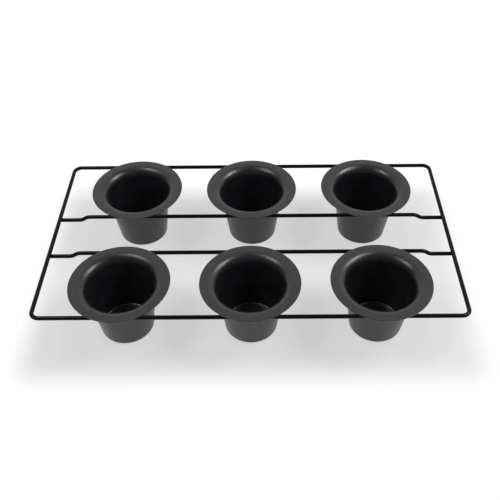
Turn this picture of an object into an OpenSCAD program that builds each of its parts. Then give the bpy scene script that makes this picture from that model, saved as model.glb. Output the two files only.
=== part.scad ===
// Popover pan: six deep drawn-steel cups hung by their brims in a rack of round wire.
// The pan stands on the cups' flat bases. Left to right is X, the front row is towards -Y.

/* [Cup] */
// Height of a cup, from its base to the top of its brim
cup_height = 60.5; // [45:0.5:80]
// Outside diameter of the wall, carried down to the base plane
base_d = 51.5; // [46:0.5:56]
// Taper of the wall on each side, in degrees from upright
wall_angle = 7.5; // [5:0.25:9]
// Thickness of the drawn sheet
sheet_t = 0.6; // [0.5:0.05:0.9]
// Outside radius of the edge between wall and base
base_edge_r = 2; // [1.5:0.1:4]
// Radius of the flare from the wall out to the brim, on its upper face
flare_r = 9.5; // [7:0.25:12]
// Width of the flat brim outside the flare
brim_flat = 6.5; // [5:0.25:10]

/* [Layout] */
// Distance between the axes of neighbouring cups in a row
cup_pitch = 123; // [110:1:140]
// Distance between the axes of the two rows
row_spacing = 136; // [124:1:160]
// From the axis of an end cup to the centreline of the side wire
side_reach = 75; // [66:1:95]

/* [Wire rack] */
// Diameter of the wire
wire_d = 4; // [3:0.1:4.4]
// Centreline radius of the frame's four corners
corner_r = 7.5; // [5:0.5:14]
// Extra room between a cross wire and the flare of its cups
cross_slack = 1.5; // [0.5:0.1:2.5]
// From the side wire's centreline to the foot of the cross wire's step
step_start = 18.7; // [10:0.1:22]
// Centreline radius of the step's two bends
step_bend_r = 10; // [7:0.25:14]
// How far a cross wire runs past the side wire's centreline
end_overlap = 1.5; // [0.5:0.1:2]

/* [Fits and welds] */
// Gap between a wire and the brim above it, filled at the welds
seat_gap = 0.15; // [0.1:0.01:0.3]
// Least gap between the frame wire and the flare beside it
flare_gap = 0.03; // [0.02:0.01:0.08]
// Gap between a cross wire's end and the side wire above it, filled at the welds
cross_gap = 0.1; // [0.05:0.01:0.3]
// How far a spot weld stays inside the wire's sides
weld_inset = 0.3; // [0.2:0.05:0.6]
// Length of the butt weld that closes the frame
butt_weld_l = 1.2; // [0.8:0.1:2.5]

/* [Hidden] */
$fn = 96;

coating_colour = "dimgray";
wire_colour = "black";
weld_colour = "slategray";

// Columns and rows, counted from the middle of the pan
left = -1;
centre = 0;
right = 1;
front = -1;
rear = 1;

// Flare: the arc's centre is shared by the upper and the lower face of the sheet
flare_z = cup_height - flare_r;
flare_under_r = flare_r - sheet_t;
flare_axis_r = base_d / 2 + flare_z * tan(wall_angle) + flare_under_r / cos(wall_angle);
brim_r = flare_axis_r + brim_flat;
brim_under_z = cup_height - sheet_t;

function to_thousandth(value) = round(value * 1000) / 1000;

// Long wires: the frame's nests in the hollow of the flare, close under the brim
wire_r = wire_d / 2;
wire_z = brim_under_z - seat_gap - wire_r;
nest_to_flare = flare_under_r - wire_r - flare_gap;
nest_to_brim = flare_under_r - wire_r - seat_gap;
frame_reach = to_thousandth(flare_axis_r - sqrt(pow(nest_to_flare, 2) - pow(nest_to_brim, 2)));
cross_reach = frame_reach + cross_slack;
frame_half_l = cup_pitch + side_reach;
frame_half_w = row_spacing / 2 + frame_reach;
cross_wire_y = row_spacing / 2 - cross_reach;

// Step: the cross wire drops through two equal bends to pass under the side wire
step_angle = to_thousandth(acos(1 - (wire_d + cross_gap) / (2 * step_bend_r)));
step_drop = 2 * step_bend_r * (1 - cos(step_angle));
step_l = 2 * step_bend_r * sin(step_angle);
step_top_x = to_thousandth(frame_half_l - step_start - step_l);
step_foot_x = step_top_x + step_l;
low_z = wire_z - step_drop;

// Welds: each cup has two on its frame wire and two on its cross wire, on the middle of the flat brim
weld_d = wire_d - 2 * weld_inset;
weld_ring_r = flare_axis_r + brim_flat / 2;

// Outside radius of the wall's straight part at height z, less an inset across the sheet
function wall_r(z, inset) = base_d / 2 + z * tan(wall_angle) - inset / cos(wall_angle);

// A cup's filled half section, from its axis to its outer face, or to its inner face when inset is sheet_t
module cup_form(inset) {
    top_z = brim_under_z + inset;
    arc_r = flare_under_r + inset;
    edge_r = base_edge_r - inset;
    edge_z = inset + edge_r;
    edge_axis_r = wall_r(edge_z, inset) - edge_r / cos(wall_angle);
    difference() {
        polygon([
            [0, inset],
            [wall_r(inset, inset), inset],
            [flare_axis_r - arc_r * cos(wall_angle), flare_z + arc_r * sin(wall_angle)],
            [flare_axis_r, flare_z],
            [flare_axis_r, top_z],
            [0, top_z]
        ]);
        translate([flare_axis_r, flare_z]) circle(r = arc_r);
        // What the rounded edge between wall and base takes off the sharp corner
        difference() {
            polygon([
                [edge_axis_r, inset],
                [wall_r(inset, inset), inset],
                [edge_axis_r + edge_r * cos(wall_angle), edge_z - edge_r * sin(wall_angle)],
                [edge_axis_r, edge_z]
            ]);
            translate([edge_axis_r, edge_z]) circle(r = edge_r);
        }
    }
}

// Half section of the flat brim, with its rim rounded over
module brim_section() {
    rim_r = sheet_t / 2;
    translate([0, brim_under_z]) square([brim_r - rim_r, sheet_t]);
    translate([brim_r - rim_r, brim_under_z + rim_r]) circle(r = rim_r);
}

// One cup, drawn from one sheet: flat base, tapered wall, flare and brim
module cup() {
    rotate_extrude() difference() {
        union() {
            cup_form(0);
            brim_section();
        }
        cup_form(sheet_t);
    }
}

module at_cup(column, row) {
    translate([column * cup_pitch, row * row_spacing / 2, 0]) children();
}

// A coarse and a fine move to one place, so that lengths of wire meet exactly end to end
module exactly_at(place) {
    coarse = [for (value = place) to_thousandth(value)];
    translate(coarse) translate(place - coarse) children();
}

// Straight length of wire between two points
module wire_run(from, to) {
    way = to - from;
    length = norm(way);
    exactly_at(from) rotate([0, acos(way.z / length), atan2(way.y, way.x)]) cylinder(d = wire_d, h = length);
}

// Bent length of wire about the Z axis, from the X axis on
module wire_bend(bend_r, angle) {
    rotate_extrude(angle = angle) translate([bend_r, 0]) circle(d = wire_d);
}

// The frame's wire, bent into a rectangle. Its ends meet the butt weld in the middle of the rear side.
module outer_frame_wire() {
    run_x = frame_half_l - corner_r;
    run_y = frame_half_w - corner_r;
    color(wire_colour) translate([0, 0, wire_z]) {
        wire_run([-run_x, -frame_half_w, 0], [run_x, -frame_half_w, 0]);
        for (side = [left, right]) {
            wire_run([side * butt_weld_l / 2, frame_half_w, 0], [side * run_x, frame_half_w, 0]);
            wire_run([side * frame_half_l, -run_y, 0], [side * frame_half_l, run_y, 0]);
        }
        for (flip_x = [0, 1], flip_y = [0, 1]) mirror([flip_x, 0, 0]) mirror([0, flip_y, 0])
            translate([run_x, run_y, 0]) wire_bend(corner_r, 90);
    }
}

// Weld metal between the frame wire's two ends, dressed flush
module frame_butt_weld() {
    color(weld_colour) translate([0, 0, wire_z])
        wire_run([-butt_weld_l / 2, frame_half_w, 0], [butt_weld_l / 2, frame_half_w, 0]);
}

// Right end of a cross wire: down through the step's two bends and out under the side wire
module cross_wire_end() {
    exactly_at([step_top_x, 0, wire_z - step_bend_r])
        rotate([0, -90, -90]) wire_bend(step_bend_r, step_angle);
    exactly_at([step_foot_x, 0, low_z + step_bend_r])
        rotate([0, 90, 90]) wire_bend(step_bend_r, step_angle);
    wire_run([step_foot_x, 0, low_z], [frame_half_l + end_overlap, 0, low_z]);
}

// A cross wire runs the pan's whole length under the inner side of one row's brims
module cross_wire(row) {
    color(wire_colour) translate([0, row * cross_wire_y, 0]) {
        wire_run([-step_top_x, 0, wire_z], [step_top_x, 0, wire_z]);
        cross_wire_end();
        mirror([1, 0, 0]) cross_wire_end();
    }
}

module rear_cross_wire() { cross_wire(rear); }
module front_cross_wire() { cross_wire(front); }

// Four spot welds where the cross wires pass under the frame's short sides
module cross_wire_end_welds() {
    color(weld_colour) for (side = [left, right], row = [front, rear])
        translate([side * frame_half_l, row * cross_wire_y, low_z]) difference() {
            cylinder(d = weld_d, h = step_drop);
            wire_run([-wire_d, 0, 0], [wire_d, 0, 0]);
            wire_run([0, -wire_d, step_drop], [0, wire_d, step_drop]);
        }
}

// Spot weld on a wire that runs along X: it fills the gap up to the brim
module brim_weld() {
    difference() {
        cylinder(d = weld_d, h = wire_r + seat_gap);
        wire_run([-wire_d, 0, 0], [wire_d, 0, 0]);
    }
}

// The four spot welds of one cup: a pair on the frame wire and a pair on the cross wire
module cup_welds(column, row) {
    reaches = [row * frame_reach, -row * cross_reach];
    color(weld_colour) at_cup(column, row) for (reach = reaches, side = [left, right])
        translate([side * sqrt(pow(weld_ring_r, 2) - pow(reach, 2)), reach, wire_z]) brim_weld();
}

module cup_rear_left() { color(coating_colour) at_cup(left, rear) cup(); }
module cup_rear_centre() { color(coating_colour) at_cup(centre, rear) cup(); }
module cup_rear_right() { color(coating_colour) at_cup(right, rear) cup(); }
module cup_front_left() { color(coating_colour) at_cup(left, front) cup(); }
module cup_front_centre() { color(coating_colour) at_cup(centre, front) cup(); }
module cup_front_right() { color(coating_colour) at_cup(right, front) cup(); }

module welds_rear_left() { cup_welds(left, rear); }
module welds_rear_centre() { cup_welds(centre, rear); }
module welds_rear_right() { cup_welds(right, rear); }
module welds_front_left() { cup_welds(left, front); }
module welds_front_centre() { cup_welds(centre, front); }
module welds_front_right() { cup_welds(right, front); }

outer_frame_wire();
frame_butt_weld();
rear_cross_wire();
front_cross_wire();
cross_wire_end_welds();
cup_rear_left();
cup_rear_centre();
cup_rear_right();
cup_front_left();
cup_front_centre();
cup_front_right();
welds_rear_left();
welds_rear_centre();
welds_rear_right();
welds_front_left();
welds_front_centre();
welds_front_right();
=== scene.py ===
"""Popover pan, dressed for its picture: coated cups, wire rack, welds, studio and camera.

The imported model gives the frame. The cups are turned again as smooth shells with the same section.
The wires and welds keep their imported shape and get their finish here.
Lengths are in metres, +Z is up and the front row of cups is towards -Y.
"""

import math
from collections import namedtuple

import bpy
from bpy.props import FloatProperty, FloatVectorProperty, IntProperty, PointerProperty
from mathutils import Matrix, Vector


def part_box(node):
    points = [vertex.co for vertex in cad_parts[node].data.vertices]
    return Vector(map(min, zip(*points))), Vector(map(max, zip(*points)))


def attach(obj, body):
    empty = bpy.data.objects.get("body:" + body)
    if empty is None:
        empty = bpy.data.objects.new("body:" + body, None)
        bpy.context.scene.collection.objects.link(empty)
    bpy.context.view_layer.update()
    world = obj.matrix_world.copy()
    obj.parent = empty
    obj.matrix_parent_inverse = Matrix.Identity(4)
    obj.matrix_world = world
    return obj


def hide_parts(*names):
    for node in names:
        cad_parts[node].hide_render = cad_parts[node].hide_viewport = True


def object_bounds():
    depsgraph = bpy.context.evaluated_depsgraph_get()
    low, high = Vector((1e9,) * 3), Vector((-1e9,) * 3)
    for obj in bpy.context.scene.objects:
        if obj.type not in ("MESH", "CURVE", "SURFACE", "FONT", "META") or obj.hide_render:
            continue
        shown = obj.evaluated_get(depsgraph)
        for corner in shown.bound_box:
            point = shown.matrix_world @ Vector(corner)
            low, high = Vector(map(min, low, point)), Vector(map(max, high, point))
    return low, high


bl_info = {
    "name": "Popover Pan",
    "version": (1, 0, 0),
    "blender": (4, 5, 0),
    "location": "View3D > Sidebar > Popover Pan",
    "description": "Builds the coated cups, wire rack, studio and camera of a popover pan",
    "category": "Object",
}

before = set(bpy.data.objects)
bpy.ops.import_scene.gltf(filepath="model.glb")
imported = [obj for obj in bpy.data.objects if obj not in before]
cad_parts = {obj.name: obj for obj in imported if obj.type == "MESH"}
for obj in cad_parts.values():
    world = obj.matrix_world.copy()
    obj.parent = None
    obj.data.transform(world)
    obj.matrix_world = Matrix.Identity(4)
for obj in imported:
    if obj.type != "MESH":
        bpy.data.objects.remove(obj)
CAD_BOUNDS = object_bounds()

ROOT = "root"
ROWS = ("rear", "front")
COLUMNS = ("left", "centre", "right")
CUP_NODES = [f"cup_{row}_{column}" for row in ROWS for column in COLUMNS]
WIRE_NODES = ["outer_frame_wire", "rear_cross_wire", "front_cross_wire"]
WELD_NODES = ["frame_butt_weld", "cross_wire_end_welds"]
WELD_NODES += [f"welds_{row}_{column}" for row in ROWS for column in COLUMNS]

MM = 0.001
WHITE = (1.0, 1.0, 1.0)

# Sizes of the patterns in a coating
BLOTCH = 14 * MM
CLOUD = 30 * MM
SPECK = 0.5 * MM
SCUFF = 2 * MM
RINGS = 0.8 * MM

# How far the patterns lighten and darken a coating, and shift its roughness
DARK_GAIN = 0.8
LIGHT_GAIN = 1.25
CLOUD_GLOSS = (-0.03, 0.04)
SPECK_GLOSS = (-0.03, 0.03)

# Worn rim of a brim
WEAR_WIDTH = 0.7 * MM
WORN_COLOUR = (0.16, 0.16, 0.155)
WORN_GLOSS = 0.2
SCUFF_LOW, SCUFF_HIGH = 0.5, 0.65

# Noise lies around 0.5, and nearly all of it between these
NOISE_LOW, NOISE_HIGH = 0.3, 0.7

# How far apart the noise of two objects may lie
SEED_SPREAD = 10.0

COATING_IOR = 1.5
WIRE_SPECULAR = 0.12

# Steps along the arcs and straights of a cup's section
EDGE_STEPS = 10
FLARE_STEPS = 24
HALF_RIM_STEPS = 4
STRAIGHT_STEP = 3 * MM

# Direction from the pan, width and depth of each soft box
RIGHT_BOX = ((0.62, 0.05, 0.78), 0.5, 0.7)
LEFT_BOX = ((-0.48, -0.08, 0.88), 0.35, 0.6)

# In reflections the room goes from dark to bright as a direction's part along +Y grows between these
DARK_UNTIL, BRIGHT_FROM = 0.1, 0.55

# The floor's glow under and beside the pan, and far from it
FLOOR_GLOW_STRENGTH = 0.92
FAR_FLOOR_STRENGTH = 1.05
FLOOR_DROP = 0.1 * MM
SENSOR_WIDTH = 36.0
CLIP_START, CLIP_END = 0.05, 50.0


def length(name, description, default):
    return FloatProperty(
        name=name, description=description, default=default, min=0.0, unit="LENGTH", precision=5
    )


def colour(name, description, default):
    return FloatVectorProperty(
        name=name, description=description, default=default, min=0.0, max=1.0, size=3, subtype="COLOR"
    )


def share(name, description, default):
    return FloatProperty(
        name=name, description=description, default=default, min=0.0, max=1.0, subtype="FACTOR"
    )


def angle(name, description, degrees):
    return FloatProperty(name=name, description=description, default=math.radians(degrees), subtype="ANGLE")


def power(name, description, default):
    return FloatProperty(name=name, description=description, default=default, min=0.0, unit="POWER")


class CupSettings(bpy.types.PropertyGroup):
    """Section of one cup, as drawn from sheet"""

    height: length("Height", "From the base to the top of the brim", 60.5 * MM)
    base_radius: length("Base Radius", "Outer wall carried down to the base plane", 25.75 * MM)
    wall_angle: angle("Wall Angle", "Taper of the wall from upright", 7.5)
    sheet: length("Sheet", "Thickness of the sheet", 0.6 * MM)
    base_edge: length("Base Edge", "Outer radius between wall and base", 2.0 * MM)
    flare_radius: length("Flare Radius", "Radius of the flare on its upper face", 9.5 * MM)
    brim_flat: length("Brim Flat", "Width of the flat brim outside the flare", 6.5 * MM)
    segments: IntProperty(name="Segments", description="Faces round a cup", default=192, min=24)


class FinishSettings(bpy.types.PropertyGroup):
    """Colours and texture of the coatings"""

    # Painted light: the cups' one coating, drawn darker and bluer here as painted shade inside the cups and
    # painted cool light on the brim
    cup_inside_painted_shade: colour("Cup Inside", "Coating on the inside and on the brim", (0.0075, 0.008, 0.0095))
    # Painted light: the cups' one coating, drawn lighter and warmer here as painted warm light from the
    # floor
    cup_outside_painted_floor_light: colour("Cup Outside", "Coating on the outside of the cups", (0.018, 0.017, 0.0155))
    wire: colour("Wire", "Coating on the wires", (0.0015, 0.0015, 0.0015))
    weld: colour("Weld", "Coating on the welds", (0.006, 0.006, 0.006))
    cup_roughness: share("Cup Roughness", "Roughness of the coating on the cups", 0.33)
    wire_roughness: share("Wire Roughness", "Roughness of the coating on the wires", 0.28)
    weld_roughness: share("Weld Roughness", "Roughness of the coating on the welds", 0.5)
    grain: length("Grain", "Size of the fine grain in a coating", 0.9 * MM)
    grain_height: length("Grain Height", "Height of the fine grain in a coating", 0.012 * MM)
    draw_height: length("Draw Mark Height", "Height of the rings that drawing leaves", 0.006 * MM)
    wear: share("Wear", "How far the coating is worn at the rim of a brim", 0.25)


class StudioSettings(bpy.types.PropertyGroup):
    """Floor, soft boxes and surround"""

    floor_side: length("Floor Side", "Side of the square floor", 8.0)
    floor_colour: colour("Floor", "Pale floor under the pan", (0.8, 0.8, 0.8))
    floor_glow: share("Floor Glow", "How far the floor is lit from below, which softens the shadows", 0.72)
    fade: length("Fade", "How far outside the rack the floor has gone white", 0.045)
    surround: FloatProperty(name="Surround", description="Light that comes from all round", default=0.5)
    front_tone: share("Front Tone", "How bright the room in front of the pan is in reflections", 0.12)
    box_distance: length("Box Distance", "From the pan to a soft box", 1.6)
    right_power: power("Right Power", "Power of the right box", 16.0)
    left_power: power("Left Power", "Power of the left box", 9.0)


class CameraSettings(bpy.types.PropertyGroup):
    """Place and lens of the camera"""

    place: FloatVectorProperty(
        name="Place", description="Where the camera stands", default=(0.01321, -0.49369, 0.53174),
        subtype="TRANSLATION", unit="LENGTH",
    )
    turn: FloatVectorProperty(
        name="Turn", description="The camera's rotation",
        default=(math.radians(45.0212), math.radians(0.5232), math.radians(-0.0348)), subtype="EULER",
    )
    lens: FloatProperty(name="Lens", description="Focal length", default=48.78, unit="CAMERA")
    shift_x: FloatProperty(name="Shift X", description="Sideways shift of the lens", default=-0.02)
    shift_y: FloatProperty(name="Shift Y", description="Upward shift of the lens", default=-0.0062)


class PanSettings(bpy.types.PropertyGroup):
    """All settings of the pan"""

    cup: PointerProperty(type=CupSettings)
    finish: PointerProperty(type=FinishSettings)
    studio: PointerProperty(type=StudioSettings)
    camera: PointerProperty(type=CameraSettings)


class Graph:
    """A short way to add nodes to one node tree and join them up."""

    def __init__(self, tree):
        self.tree = tree
        tree.nodes.clear()

    def add(self, kind, inputs=None, **settings):
        node = self.tree.nodes.new(kind)
        for name, value in settings.items():
            setattr(node, name, value)
        for socket, value in (inputs or {}).items():
            if isinstance(value, bpy.types.NodeSocket):
                self.tree.links.new(value, node.inputs[socket])
            else:
                node.inputs[socket].default_value = value
        return node

    def math(self, operation, *values):
        inputs = dict(enumerate(values))
        return self.add("ShaderNodeMath", inputs, operation=operation).outputs[0]

    def spread(self, value, low, high, to_low, to_high):
        """Maps low to high smoothly onto to_low to to_high, and stays at those beyond them."""
        inputs = {0: value, 1: low, 2: high, 3: to_low, 4: to_high}
        node = self.add("ShaderNodeMapRange", inputs, interpolation_type="SMOOTHSTEP")
        return node.outputs[0]

    def noise(self, place, seed, size, detail=2.0):
        """Noise with features of about the given size, different on each object."""
        inputs = {"Vector": place, "W": seed, "Scale": 1 / size, "Detail": detail}
        return self.add("ShaderNodeTexNoise", inputs, noise_dimensions="4D").outputs["Fac"]

    def spread_noise(self, noise, to_low, to_high):
        return self.spread(noise, NOISE_LOW, NOISE_HIGH, to_low, to_high)

    def distance(self, first, second):
        """Length of a way whose two parts are at right angles."""
        squares = [self.math("MULTIPLY", part, part) for part in (first, second)]
        return self.math("SQRT", self.math("ADD", *squares))

    def background(self, strength):
        inputs = {"Color": rgba(WHITE), "Strength": strength}
        return self.add("ShaderNodeBackground", inputs).outputs[0]

    def mix(self, factor, first, second):
        """Mixes two colours. Sockets 6 and 7 of the node are its colours, and output 2 is their mix."""
        inputs = {"Factor": factor, 6: first, 7: second}
        return self.add("ShaderNodeMix", inputs, data_type="RGBA").outputs[2]


def rgba(values, gain=1.0):
    return [min(1.0, value * gain) for value in values] + [1.0]


def add_draw_marks(graph, place, seed, radius, height, relief, finish):
    """Adds the rings that drawing the sheet leaves to a relief."""
    across = graph.math("ADD", radius, height)
    ring_place = graph.add("ShaderNodeCombineXYZ", {0: across}).outputs[0]
    rings = graph.noise(ring_place, seed, RINGS, 3.0)
    inputs = {"Height": rings, "Distance": finish.draw_height, "Normal": relief}
    return graph.add("ShaderNodeBump", inputs).outputs[0]


def rim_wear(graph, place, seed, radius, cup, finish):
    """How far the coating is worn off, in scuffs along the rim of a brim."""
    rim = flare_and_brim(cup).brim_radius
    edge = graph.spread(radius, rim - WEAR_WIDTH, rim, 0.0, finish.wear)
    scuff = graph.noise(place, seed, SCUFF, 6.0)
    return graph.math("MULTIPLY", edge, graph.spread(scuff, SCUFF_LOW, SCUFF_HIGH, 0.0, 1.0))


def coating(name, base, roughness, finish, specular=0.5, cup=None):
    """Coated metal: blotchy tone, uneven gloss and fine grain. A cup adds draw marks and a worn rim."""
    material = bpy.data.materials.new(name)
    material.use_nodes = True
    graph = Graph(material.node_tree)
    place = graph.add("ShaderNodeTexCoord").outputs["Object"]
    seed = graph.math("MULTIPLY", graph.add("ShaderNodeObjectInfo").outputs["Random"], SEED_SPREAD)

    blotch = graph.spread_noise(graph.noise(place, seed, BLOTCH, 4.0), 0.0, 1.0)
    tone = graph.mix(blotch, rgba(base, DARK_GAIN), rgba(base, LIGHT_GAIN))
    cloud = graph.noise(place, seed, CLOUD, 3.0)
    speck = graph.noise(place, seed, SPECK)
    gloss = graph.math("ADD", roughness, graph.spread_noise(cloud, *CLOUD_GLOSS))
    gloss = graph.math("ADD", gloss, graph.spread_noise(speck, *SPECK_GLOSS))

    grain = graph.noise(place, seed, finish.grain)
    bump = graph.add("ShaderNodeBump", {"Height": grain, "Distance": finish.grain_height})
    relief = bump.outputs[0]
    if cup:
        parts = graph.add("ShaderNodeSeparateXYZ", {0: place}).outputs
        radius = graph.distance(parts[0], parts[1])
        relief = add_draw_marks(graph, place, seed, radius, parts[2], relief, finish)
        worn = rim_wear(graph, place, seed, radius, cup, finish)
        tone = graph.mix(worn, tone, rgba(WORN_COLOUR))
        gloss = graph.math("ADD", gloss, graph.math("MULTIPLY", worn, WORN_GLOSS))

    inputs = {
        "Base Color": tone,
        "Roughness": gloss,
        "Normal": relief,
        "IOR": COATING_IOR,
        "Specular IOR Level": specular,
    }
    shader = graph.add("ShaderNodeBsdfPrincipled", inputs)
    graph.add("ShaderNodeOutputMaterial", {"Surface": shader.outputs[0]})
    return material


def finish_node(name, material):
    """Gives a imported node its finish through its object's material slots."""
    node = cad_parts[name]
    if not node.material_slots:
        raise RuntimeError(f"{name} has no material slot")
    for material_slot in node.material_slots:
        material_slot.link = "OBJECT"
        material_slot.material = material


FlareAndBrim = namedtuple("FlareAndBrim", "axis_radius axis_height brim_radius")


def flare_and_brim(cup):
    """Where the flare's arcs are centred in the half section, and the radius of the brim."""
    slope = cup.wall_angle
    axis_height = cup.height - cup.flare_radius
    wall_radius = cup.base_radius + axis_height * math.tan(slope)
    axis_radius = wall_radius + (cup.flare_radius - cup.sheet) / math.cos(slope)
    return FlareAndBrim(axis_radius, axis_height, axis_radius + cup.brim_flat)


def arc(centre, radius, start, end, steps):
    """Points along an arc of the half section, both ends included. Angles run from outwards to upwards."""
    angles = [start + (end - start) * step / steps for step in range(steps + 1)]
    return [(centre[0] + radius * math.cos(a), centre[1] + radius * math.sin(a)) for a in angles]


def fill(points, step):
    """The same line with points no further apart than step."""
    filled = [points[0]]
    for first, second in zip(points, points[1:]):
        count = max(1, math.ceil(math.dist(first, second) / step))
        for part in range(1, count + 1):
            way = part / count
            filled.append(tuple(a + (b - a) * way for a, b in zip(first, second)))
    return filled


def face_of_sheet(cup, inset):
    """One face of the sheet, from the axis out to the flare's top. Inset is its depth in the sheet."""
    slope = cup.wall_angle
    flare = flare_and_brim(cup)
    edge_radius = cup.base_edge - inset
    edge_height = inset + edge_radius
    wall_radius = cup.base_radius + edge_height * math.tan(slope)
    edge_axis = wall_radius - (inset + edge_radius) / math.cos(slope)
    flare_radius = cup.flare_radius - cup.sheet + inset
    flare_axis = (flare.axis_radius, flare.axis_height)
    edge_arc = arc((edge_axis, edge_height), edge_radius, -math.pi / 2, -slope, EDGE_STEPS)
    flare_arc = arc(flare_axis, flare_radius, math.pi - slope, math.pi / 2, FLARE_STEPS)
    return [(0.0, inset)] + edge_arc + flare_arc


def cup_halves(cup):
    """The half section in two lines: under the base out to the rim, and from the rim back to the axis."""
    rim_radius = cup.sheet / 2
    rim_axis = (flare_and_brim(cup).brim_radius - rim_radius, cup.height - rim_radius)
    under_rim = arc(rim_axis, rim_radius, -math.pi / 2, 0.0, HALF_RIM_STEPS)
    over_rim = arc(rim_axis, rim_radius, 0.0, math.pi / 2, HALF_RIM_STEPS)
    outside = fill(face_of_sheet(cup, 0.0) + under_rim, STRAIGHT_STEP)
    inside = fill(over_rim + face_of_sheet(cup, cup.sheet)[::-1], STRAIGHT_STEP)
    return outside, inside


def lathe(name, outside, inside, segments):
    """A closed shell turned about the Z axis, with its first material outside and its second inside."""
    section = outside + inside[1:]
    rings = section[1:-1]
    rim_ring = len(outside) - 2
    turns = [2 * math.pi * s / segments for s in range(segments)]
    vertices = [(r * math.cos(t), r * math.sin(t), z) for r, z in rings for t in turns]
    bottom, top = len(vertices), len(vertices) + 1
    vertices += [(0.0, 0.0, section[0][1]), (0.0, 0.0, section[-1][1])]
    last = (len(rings) - 1) * segments
    faces = []
    sides = []
    for s in range(segments):
        after = (s + 1) % segments
        faces += [(bottom, after, s), (top, last + s, last + after)]
        sides += [0, 1]
        for ring in range(len(rings) - 1):
            low, high = ring * segments, (ring + 1) * segments
            faces.append((low + s, low + after, high + after, high + s))
            sides.append(int(ring >= rim_ring))
    mesh = bpy.data.meshes.new(name)
    mesh.from_pydata(vertices, [], faces)
    mesh.polygons.foreach_set("use_smooth", [True] * len(faces))
    mesh.polygons.foreach_set("material_index", sides)
    mesh.update()
    return mesh


class POPOVER_OT_cups(bpy.types.Operator):
    """Turns the six cups and coats them"""

    bl_idname = "popover.cups"
    bl_label = "Cups"

    def execute(self, context):
        settings = context.scene.popover_pan
        cup, finish = settings.cup, settings.finish
        # The inside and brim get the coating with painted shade, the outside the coating with painted warm
        # light from the floor
        inside = coating("cup_coating_inside_painted_shade", finish.cup_inside_painted_shade, finish.cup_roughness, finish, cup=cup)
        outside = coating("cup_coating_outside_painted_floor_light", finish.cup_outside_painted_floor_light, finish.cup_roughness, finish, cup=cup)
        for node in CUP_NODES:
            low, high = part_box(node)
            mesh = lathe(f"{node}_shell", *cup_halves(cup), cup.segments)
            mesh.materials.append(outside)
            mesh.materials.append(inside)
            shell = bpy.data.objects.new(f"{node}_shell", mesh)
            context.scene.collection.objects.link(shell)
            shell.location = ((low.x + high.x) / 2, (low.y + high.y) / 2, low.z)
            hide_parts(node)
            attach(shell, ROOT)
        return {"FINISHED"}


class POPOVER_OT_rack(bpy.types.Operator):
    """Coats the wires of the rack"""

    bl_idname = "popover.rack"
    bl_label = "Wire Rack"

    def execute(self, context):
        finish = context.scene.popover_pan.finish
        wire = coating("wire_coating", finish.wire, finish.wire_roughness, finish, WIRE_SPECULAR)
        for node in WIRE_NODES:
            finish_node(node, wire)
        return {"FINISHED"}


class POPOVER_OT_welds(bpy.types.Operator):
    """Coats the welds"""

    bl_idname = "popover.welds"
    bl_label = "Welds"

    def execute(self, context):
        finish = context.scene.popover_pan.finish
        weld = coating("weld_coating", finish.weld, finish.weld_roughness, finish)
        for node in WELD_NODES:
            finish_node(node, weld)
        return {"FINISHED"}


def beyond(graph, value, half):
    """How far a coordinate is outside the span from -half to half."""
    past = graph.math("SUBTRACT", graph.math("ABSOLUTE", value), half)
    return graph.math("MAXIMUM", past, 0.0)


def floor_material(studio):
    """Pale floor that goes to plain white away from the pan."""
    material = bpy.data.materials.new("studio_floor")
    material.use_nodes = True
    graph = Graph(material.node_tree)
    place = graph.add("ShaderNodeTexCoord").outputs["Object"]
    parts = graph.add("ShaderNodeSeparateXYZ", {0: place}).outputs
    half = (CAD_BOUNDS[1] - CAD_BOUNDS[0]) / 2
    outside = graph.distance(beyond(graph, parts[0], half.x), beyond(graph, parts[1], half.y))
    away = graph.spread(outside, 0.0, studio.fade, 0.0, 1.0)
    pale = rgba(studio.floor_colour)
    lit = graph.add("ShaderNodeBsdfDiffuse", {"Color": pale}).outputs[0]
    glow_inputs = {"Color": pale, "Strength": FLOOR_GLOW_STRENGTH}
    glow = graph.add("ShaderNodeEmission", glow_inputs).outputs[0]
    near = graph.add("ShaderNodeMixShader", {0: studio.floor_glow, 1: lit, 2: glow}).outputs[0]
    far_inputs = {"Color": rgba(WHITE), "Strength": FAR_FLOOR_STRENGTH}
    far = graph.add("ShaderNodeEmission", far_inputs).outputs[0]
    both = graph.add("ShaderNodeMixShader", {0: away, 1: near, 2: far}).outputs[0]
    graph.add("ShaderNodeOutputMaterial", {"Surface": both})
    return material


def surround_world(studio):
    """White to the camera, dimmer as a light, and in reflections bright only behind the pan."""
    world = bpy.data.worlds.new("studio_surround")
    world.use_nodes = True
    graph = Graph(world.node_tree)
    path = graph.add("ShaderNodeLightPath").outputs
    seen = graph.math("ADD", path["Is Camera Ray"], path["Is Glossy Ray"])
    seen = graph.math("MINIMUM", graph.math("ADD", seen, path["Is Transmission Ray"]), 1.0)
    direction = graph.add("ShaderNodeTexCoord").outputs["Generated"]
    backwards = graph.add("ShaderNodeSeparateXYZ", {0: direction}).outputs[1]
    reflected = graph.spread(backwards, DARK_UNTIL, BRIGHT_FROM, studio.front_tone, 1.0)
    tone = graph.math("MAXIMUM", path["Is Camera Ray"], reflected)
    inputs = {0: seen, 1: graph.background(studio.surround), 2: graph.background(tone)}
    both = graph.add("ShaderNodeMixShader", inputs)
    graph.add("ShaderNodeOutputWorld", {"Surface": both.outputs[0]})
    return world


def soft_box(context, name, form, energy, distance):
    """A soft box that looks at the middle of the pan. Its form is its direction, width and depth."""
    direction, width, depth = form
    light = bpy.data.lights.new(name, "AREA")
    light.shape = "RECTANGLE"
    light.size, light.size_y, light.energy = width, depth, energy
    box = bpy.data.objects.new(name, light)
    context.scene.collection.objects.link(box)
    way = Vector(direction).normalized()
    box.location = way * distance
    box.rotation_mode = "QUATERNION"
    box.rotation_quaternion = way.to_track_quat("Z", "Y")
    box.visible_camera = False


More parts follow.
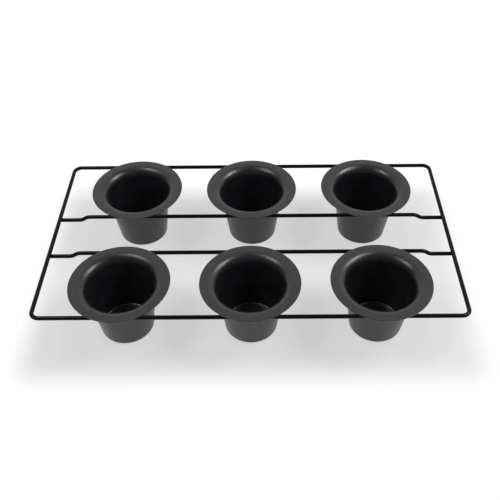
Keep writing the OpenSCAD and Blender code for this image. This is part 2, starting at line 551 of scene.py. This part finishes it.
class POPOVER_OT_studio(bpy.types.Operator):
    """Lays the floor and sets the light"""

    bl_idname = "popover.studio"
    bl_label = "Studio"

    def execute(self, context):
        studio = context.scene.popover_pan.studio
        half = studio.floor_side / 2
        corners = [(-half, -half, 0), (half, -half, 0), (half, half, 0), (-half, half, 0)]
        mesh = bpy.data.meshes.new("floor")
        mesh.from_pydata(corners, [], [(0, 1, 2, 3)])
        mesh.materials.append(floor_material(studio))
        floor = bpy.data.objects.new("floor", mesh)
        floor.location.z = -FLOOR_DROP
        context.scene.collection.objects.link(floor)
        soft_box(context, "right_box", RIGHT_BOX, studio.right_power, studio.box_distance)
        soft_box(context, "left_box", LEFT_BOX, studio.left_power, studio.box_distance)
        context.scene.world = surround_world(studio)
        context.scene.view_settings.view_transform = "Standard"
        return {"FINISHED"}


class POPOVER_OT_camera(bpy.types.Operator):
    """Sets the camera at the photo's angle"""

    bl_idname = "popover.camera"
    bl_label = "Camera"

    def execute(self, context):
        settings = context.scene.popover_pan.camera
        data = bpy.data.cameras.new("camera")
        data.sensor_width = SENSOR_WIDTH
        data.lens = settings.lens
        data.shift_x, data.shift_y = settings.shift_x, settings.shift_y
        data.clip_start, data.clip_end = CLIP_START, CLIP_END
        camera = bpy.data.objects.new("camera", data)
        camera.location = settings.place
        camera.rotation_euler = settings.turn
        context.scene.collection.objects.link(camera)
        context.scene.camera = camera
        return {"FINISHED"}


OPERATORS = (
    POPOVER_OT_cups, POPOVER_OT_rack, POPOVER_OT_welds, POPOVER_OT_studio, POPOVER_OT_camera
)


class POPOVER_PT_panel(bpy.types.Panel):
    """Settings and pieces of the popover pan"""

    bl_idname = "POPOVER_PT_panel"
    bl_label = "Popover Pan"
    bl_space_type = "VIEW_3D"
    bl_region_type = "UI"
    bl_category = "Popover Pan"

    def draw(self, context):
        settings = context.scene.popover_pan
        for group_name in ("cup", "finish", "studio", "camera"):
            group = getattr(settings, group_name)
            box = self.layout.box()
            box.label(text=group_name.capitalize())
            for setting in group.__annotations__:
                box.prop(group, setting)
        for operator in OPERATORS:
            self.layout.operator(operator.bl_idname)


SETTINGS = (CupSettings, FinishSettings, StudioSettings, CameraSettings, PanSettings)
CLASSES = (*SETTINGS, *OPERATORS, POPOVER_PT_panel)


def register():
    for cls in CLASSES:
        bpy.utils.register_class(cls)
    bpy.types.Scene.popover_pan = PointerProperty(type=PanSettings)


def unregister():
    del bpy.types.Scene.popover_pan
    for cls in reversed(CLASSES):
        bpy.utils.unregister_class(cls)


def main():
    register()
    bpy.ops.popover.cups()
    bpy.ops.popover.rack()
    bpy.ops.popover.welds()
    bpy.ops.popover.studio()
    bpy.ops.popover.camera()


if __name__ == "__main__":
    main()
